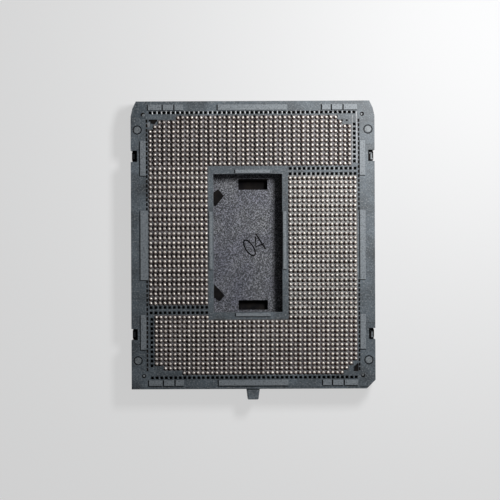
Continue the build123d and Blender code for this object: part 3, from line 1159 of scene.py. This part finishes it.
@dataclass(frozen=True)
class FrameDetails(Part):
    """Fine features of the frame: near-black strips of painted shadow beside the pads, dark
    corners and other painted shade, the ramp, the lip, the pins and a lighter tongue as a painted
    highlight.

    Each pin is given by its corner's sides in X and Y, its shift in its hole and its radius.
    """

    # The strips beside the pads are near-black painted shadows of the pads; groove is their width.
    groove: float = 0.2
    side_pad_shadow: float = 0.12
    collar_pad_shadow: float = 0.14
    pad_shadow_gap: float = 0.005
    pad_shadow_depth: float = 0.05
    rise: float = 0.006
    pad_rows: tuple = (23.3, 24.25)
    pad_starts: tuple = (-18.04, -15.47, -13.45, -6.0, 12.0, 13.72, 15.74)
    pad_lines: tuple = (18.47, 19.42)
    side_pad_starts: tuple = (-18.0, -6.0, 12.0)
    wide_pad: int = 1
    wide_pad_line: float = 18.15
    collar_pads: tuple = (0.15, 0.7)
    collar_starts: tuple = (-3.0, -4.2)
    row_lines: tuple = (Span(-18.04, -12.0, 23.23, 23.3), Span(12.0, 18.04, 23.23, 23.3))
    slot: Span = Span(-17.93, -16.45, 21.39, 21.71)
    slot_levels: tuple = (3.6, 4.28)
    shades: tuple = (
        ((-17.66, 21.4), (-17.62, 21.05), (-16.95, 20.85), (-16.55, 21.4)),
        (
            *((17.95, -20.45), (17.6, -21.0), (17.42, -21.35)),
            *((17.45, -21.84), (18.1, -21.86), (18.1, -20.6)),
        ),
    )
    shade_depth: float = 0.1
    dots: tuple = ((15.44, 21.46), (16.27, 21.47))
    dot_radius: float = 0.19
    corner: tuple = (
        *((-20.6, 21.76), (-18.34, 21.76), (-18.34, 24.44)),
        *((-19.95, 24.44), (-20.4, 23.0)),
    )
    corner_levels: tuple = (4.1, 4.155)
    lip: Span = Span(-20.9, 18.4, -24.85, -24.4)
    lip_levels: tuple = (4.175, 4.375)
    tongue: tuple = ((-18.2, 21.1), (-18.1, 20.4), (-17.8, 20.35), (-17.72, 20.8), (-17.9, 21.25))
    tongue_rise: float = 0.03
    pin_x: float = 18.9
    pin_y: float = 22.56
    pin_rise: float = 0.01
    pins: tuple = (
        (-1, 1, 0.1, -0.12, 0.26),
        (1, 1, -0.08, -0.02, 0.17),
        (-1, -1, 0.0, 0.04, 0.2),
        (1, -1, -0.03, 0.09, 0.22),
    )
    hole_radius: float = 0.37
    post_depth: float = 0.45
    post_sides: int = 20

    def build(self) -> None:
        """Builds every fine feature of the frame."""
        self.build_painted_shade()
        self.build_corner()
        self.build_pins()

    def grooves(self) -> list[Span]:
        """Lists the narrow near-black strips, painted shadows of the pads, that lie along one end
        of each pad.

        Returns:
            The strips in plan.
        """
        spans = []
        near, far = self.pad_rows
        for start in self.pad_starts:
            left, right = start - self.groove, start - self.pad_shadow_gap
            spans += [Span(left, right, near, far), Span(left, right, -far, -near)]
        near, far = self.pad_lines
        for number, start in enumerate(self.side_pad_starts):
            inner = self.wide_pad_line if number == self.wide_pad else near
            low, high = start - self.side_pad_shadow, start - self.pad_shadow_gap
            spans += [Span(near, far, low, high), Span(-far, -inner, low, high)]
        near, far = self.collar_pads
        right, high = self.collar_starts
        left, low, hole = right - self.groove, high - self.collar_pad_shadow, COLLAR_HOLE
        spans += [
            Span(left, right, hole.top + near, hole.top + far),
            Span(left, right, hole.bottom - far, hole.bottom - near),
            Span(hole.left - far, hole.left - near, low, high),
            Span(hole.right + near, hole.right + far, low, high),
        ]
        return spans

    def build_painted_shade(self) -> None:
        """Builds the near-black painted shade: the pads' shadow strips, the corner slot's bottom,
        the dark corners and the dots.
        """
        bm = bmesh.new()
        top = HOUSING_TOP + self.rise
        for span in (*self.grooves(), *self.row_lines):
            Maker.box(bm, span, HOUSING_TOP - self.pad_shadow_depth, top)
        Maker.box(bm, self.slot, *self.slot_levels)
        for points in self.shades:
            Maker.slab(bm, points, HOUSING_TOP - self.shade_depth, top)
        for x, y in self.dots:
            self.post(bm, x, y, self.dot_radius, top)
        Maker.piece("painted_frame_shade", bm, self.finishes.painted_shade)

    def build_corner(self) -> None:
        """Builds the ramp from the dull corner up to the frame, and the lip at the edge."""
        ramp, lip = bmesh.new(), bmesh.new()
        low, start = self.corner_levels
        top = HOUSING_TOP - HAIR
        Maker.slab(ramp, self.corner, low, top)
        left, right = self.corner[0][0], self.corner[1][0]
        for vert in ramp.verts:
            if vert.co.z > start * MM:
                share = (vert.co.x / MM - left) / (right - left)
                vert.co.z = (start + share * (top - start)) * MM
        Maker.piece("corner_ramp", ramp, self.finishes.housing)
        Maker.box(lip, self.lip, *self.lip_levels)
        Maker.piece("edge_lip", lip, self.finishes.housing)

    def build_pins(self) -> None:
        """Builds the tongue, a painted highlight, the pins in the corner holes and the holes'
        near-black bottoms, painted shade.
        """
        tongue, pins, bottoms = bmesh.new(), bmesh.new(), bmesh.new()
        for x_side, y_side, shift_x, shift_y, radius in self.pins:
            x, y = x_side * self.pin_x, y_side * self.pin_y
            self.post(bottoms, x, y, self.hole_radius, HOUSING_TOP + self.rise)
            self.post(pins, x + shift_x, y + shift_y, radius, HOUSING_TOP + self.pin_rise)
        top = HOUSING_TOP + self.tongue_rise
        Maker.slab(tongue, self.tongue, HOUSING_TOP - self.shade_depth, top)
        # Painted highlight: the tongue takes the lighter rib plastic.
        Maker.piece("corner_tongue", tongue, self.finishes.rib)
        Maker.piece("corner_pins", pins, self.finishes.mark)
        Maker.piece("corner_holes", bottoms, self.finishes.painted_shade)

    def post(self, bm: BMesh, x: float, y: float, radius: float, top: float) -> None:
        """Adds a short round post to a mesh.

        Args:
            bm: The mesh.
            x: Its middle across the frame, in millimetres.
            y: Its middle along the frame, in millimetres.
            radius: Its radius, in millimetres.
            top: Its upper level, in millimetres.
        """
        place = Maker.at(x, y, top - self.post_depth / 2)
        Maker.post(bm, place, (radius, radius - HAIR), self.post_depth, self.post_sides)


@dataclass(frozen=True)
class FingerTab(Part):
    """The cap's finger tab, thickened up to the level of the frame's edge."""

    x: float = -0.1
    root: float = 2.3
    tip: float = 1.84
    near: float = -24.97
    far: float = -26.7
    low: float = 0.9
    high: float = 4.2
    edge: float = 0.16

    def build(self) -> None:
        """Builds the tab as one tapered block with rounded edges."""
        bm = bmesh.new()
        half = self.root / 2
        Maker.box(bm, Span(self.x - half, self.x + half, self.far, self.near), self.low, self.high)
        tip = [v for v in bm.verts if v.co.y < (self.far + HAIR) * MM]
        for vert in tip:
            side = 1 if vert.co.x > self.x * MM else -1
            vert.co.x = (self.x + side * self.tip / 2) * MM
        floor = self.low * MM + TINY
        edges = [e for e in bm.edges if any(v in tip for v in e.verts)]
        edges = [e for e in edges if any(v.co.z > floor for v in e.verts)]
        shape = {"offset": self.edge * MM, "segments": 3, "profile": 0.5}
        bmesh.ops.bevel(bm, geom=edges, affect="EDGES", clamp_overlap=True, material=-1, **shape)
        bmesh.ops.recalc_face_normals(bm, faces=list(bm.faces))
        Maker.piece("finger_tab", bm, self.finishes.tab, Body.CAP, Slot.CAP)


@dataclass(frozen=True)
class LatchArms(Part):
    """The hooks of the cap's four latch arms, near-black as painted shade, with raised ribs on
    their tops in a lighter plastic as painted highlights.

    The spans are those of a right-hand arm, from its middle line along Y. The arms at the
    left show only their middle rib.
    """

    y: float = 15.4
    web: Span = Span(19.97, 20.89, -0.95, 0.95)
    web_levels: tuple = (1.3, 1.9)
    hook: Span = Span(20.08, 20.89, -0.72, 0.72)
    hook_levels: tuple = (2.9, 3.22)
    ribs: tuple = (
        Span(20.18, 20.6, 0.38, 0.58),
        Span(20.42, 20.7, -0.45, 0.45),
        Span(20.42, 20.84, -0.66, -0.45),
    )
    rib_levels: tuple = (3.17, 3.26)
    left_rib_levels: tuple = (3.17, 3.23)

    def build(self) -> None:
        """Builds the webs and hooks as one piece of painted shade and the ribs, painted
        highlights, as another.
        """
        hooks, ribs = bmesh.new(), bmesh.new()
        for side in (-1, 1):
            shown, levels = (self.ribs, self.rib_levels)
            if side < 0:
                shown, levels = (self.ribs[1:2], self.left_rib_levels)
            for y in (-self.y, self.y):
                Maker.box(hooks, self.placed(self.web, side, y), *self.web_levels)
                Maker.box(hooks, self.placed(self.hook, side, y), *self.hook_levels)
                for rib in shown:
                    Maker.box(ribs, self.placed(rib, side, y), *levels)
        # Painted shade: the webs and hooks are near-black.
        Maker.piece("latch_hooks", hooks, self.finishes.painted_shade, Body.CAP, Slot.CAP)
        # Painted highlight: the ribs take the lighter mark plastic.
        Maker.piece("latch_ribs", ribs, self.finishes.mark, Body.CAP, Slot.CAP)

    @staticmethod
    def placed(span: Span, side: int, y: float) -> Span:
        """Returns a span of a right-hand arm, put on its side and at its place."""
        left, right = sorted((side * span.left, side * span.right))
        return Span(left, right, y + span.bottom, y + span.top)


@dataclass(frozen=True)
class VentShades(Part):
    """Near-black painted shade round three vents in the cap's inner face."""

    outlines: tuple = (
        ((-7.1, 6.9), (-6.46, 6.78), (-5.0, 8.58), (-6.05, 9.72), (-6.8, 9.2), (-7.1, 9.1)),
        ((-2.5, 11.25), (2.65, 11.25), (2.65, 11.5), (-2.5, 11.5)),
        ((-7.1, -9.1), (-6.7, -9.24), (-5.86, -9.8), (-4.95, -8.78), (-6.62, -6.93), (-7.1, -6.7)),
    )
    sink: float = 0.05
    rise: float = 0.012

    def build(self) -> None:
        """Builds the painted shade as one thin piece."""
        bm = bmesh.new()
        for outline in self.outlines:
            Maker.slab(bm, outline, CAP_FLOOR - self.sink, CAP_FLOOR + self.rise)
        Maker.piece("vent_shades", bm, self.finishes.cap_painted_shade, Body.CAP, Slot.CAP)


@dataclass(frozen=True)
class CavityNumber(Part):
    """The mould's cavity number, scratched into the cap's inner face and coloured near-black as
    painted shade.
    """

    stroke: float = 0.17
    level: float = CAP_FLOOR - 0.11
    zero_centre: tuple = (-0.62, -0.5)
    zero_half_length: float = 1.6
    zero_half_width: float = 0.68
    zero_turn: float = -57.0
    zero_points: int = 12
    four_strokes: tuple = (
        ((0.44, 1.5), (0.47, -0.34), (1.98, 0.27)),
        ((0.5, 1.92), (2.17, -0.7)),
    )

    def build(self) -> None:
        """Builds the two figures as one piece."""
        curve = bpy.data.curves.new("cavity_number", "CURVE")
        curve.dimensions = "3D"
        curve.bevel_depth = self.stroke * MM
        curve.bevel_resolution = 2
        curve.use_fill_caps = True
        self.line(curve, "NURBS", self.zero())
        spline = curve.splines[0]
        spline.use_cyclic_u = True
        spline.order_u = 3
        for stroke in self.four_strokes:
            self.line(curve, "POLY", stroke)
        template = bpy.data.objects.new("cavity_number_line", curve)
        mesh = bpy.data.meshes.new_from_object(template)
        bpy.data.objects.remove(template)
        bpy.data.curves.remove(curve)
        bm = bmesh.new()
        bm.from_mesh(mesh)
        bpy.data.meshes.remove(mesh)
        Maker.piece("cavity_number", bm, self.finishes.cap_painted_shade, Body.CAP, Slot.CAP)

    def zero(self) -> list[Vector]:
        """Lays out the figure 0, a long oval.

        Returns:
            Its points in plan, in millimetres.
        """
        turn = Matrix.Rotation(math.radians(self.zero_turn), 2)
        angles = [math.tau * n / self.zero_points for n in range(self.zero_points)]
        long, wide = self.zero_half_length, self.zero_half_width
        oval = [Vector((long * math.cos(a), wide * math.sin(a))) for a in angles]
        return [Vector(self.zero_centre) + turn @ point for point in oval]

    def line(self, curve: Curve, kind: str, points: tuple | list) -> None:
        """Adds one stroke.

        Args:
            curve: The curve that it goes into.
            kind: The kind of spline.
            points: Its points in plan, in millimetres.
        """
        spline = curve.splines.new(kind)
        spline.points.add(len(points) - 1)
        for point, (x, y) in zip(spline.points, points):
            point.co = (x * MM, y * MM, self.level * MM, 1.0)


@dataclass(frozen=True)
class Studio:
    """A pale floor, soft lamps and a camera that looks straight down.

    A lamp is given by its name, its place in millimetres, its size in metres and its watts.
    """

    floor_size: float = 1200.0
    floor_drop: float = 0.02
    mat: Span = Span(-14.0, 14.0, -17.0, 17.0)
    mat_levels: tuple = (-0.015, -0.005)
    view_x: float = -0.527
    view_y: float = -0.87
    view_width: float = 86.25
    lens: float = 150.0
    sensor: float = 36.0
    roll: float = -0.25
    focus_level: float = 4.6
    clip_start: float = 10.0
    lamps: tuple = (
        ("key", (47.0, 44.0, 86.0), (0.026, 0.034), 0.15),
        ("fill", (130.0, -110.0, 330.0), (0.4, 0.4), 0.07),
    )
    sky: tuple = (0.04, 0.042, 0.045)

    def build(self) -> None:
        """Builds the floor, the lamps, the sky and the camera."""
        self.build_floor()
        for lamp in self.lamps:
            self.build_lamp(*lamp)
        world = bpy.data.worlds.new("studio")
        world.use_nodes = True
        world.node_tree.nodes["Background"].inputs["Color"].default_value = (*self.sky, 1.0)
        bpy.context.scene.world = world
        bpy.context.scene.view_settings.view_transform = "Standard"
        self.build_camera()

    def build_floor(self) -> None:
        """Builds the floor, and a near-black mat of painted shade under the cap so that its vents
        look empty.
        """
        bm = bmesh.new()
        Maker.sheet(bm, Maker.at(0, 0, -self.floor_drop), self.floor_size, self.floor_size)
        floor = Maker.linked("floor", bm, FloorPaint().material())
        bm = bmesh.new()
        Maker.box(bm, self.mat, *self.mat_levels)
        mat = Maker.linked("mat", bm, PaintedShade("dark mat").material())

    def build_lamp(self, name: str, place: tuple, size: tuple, power: float) -> None:
        """Adds a soft lamp that faces straight down.

        Args:
            name: The lamp's name.
            place: Where it hangs, in millimetres.
            size: Its width and length, in metres.
            power: Its power, in watts.
        """
        light = bpy.data.lights.new(name, "AREA")
        light.shape = "RECTANGLE"
        light.size, light.size_y = size
        light.energy = power
        lamp = bpy.data.objects.new(name, light)
        lamp.location = Vector(place) * MM
        bpy.context.scene.collection.objects.link(lamp)

    def build_camera(self) -> None:
        """Builds the camera, as far above the balls as its lens needs."""
        camera = bpy.data.cameras.new("camera")
        camera.lens = self.lens
        camera.sensor_width = self.sensor
        camera.clip_start = self.clip_start * MM
        holder = bpy.data.objects.new("camera", camera)
        height = self.focus_level + self.view_width * self.lens / self.sensor
        holder.location = Vector((self.view_x, self.view_y, height)) * MM
        holder.rotation_euler = (0, 0, math.radians(self.roll))
        bpy.context.scene.collection.objects.link(holder)
        bpy.context.scene.camera = holder


def dress_mouldings(finishes: Finishes) -> None:
    """Gives the two moulded pieces, which keep their solids, their finish.

    Args:
        finishes: The object's finishes.
    """
    for node, finish in (("housing", finishes.housing), ("pick_up_cap", finishes.cap)):
        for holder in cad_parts[node].material_slots:
            holder.material = finish
        log.info("%s: finished as %s", node, finish.name)


def main() -> None:
    """Builds the studio, the finishes and every piece."""
    logging.basicConfig(level=logging.INFO, format="%(relativeCreated)d %(name)s %(message)s")
    Studio().build()
    finishes = Finishes.make()
    dress_mouldings(finishes)
    for bank in Bank:
        contacts = ContactBank(finishes, bank)
        contacts.build_field()
        contacts.build_bed()
        SolderBalls(finishes, contacts).build()
        ContactSprings(finishes, contacts).build()
    details = (Pockets, SideSlots, MouldMarks, FrameDetails, CavityNumber, FingerTab)
    for kind in (*details, LatchArms, VentShades):
        kind(finishes).build()


if __name__ == "__main__":
    main()
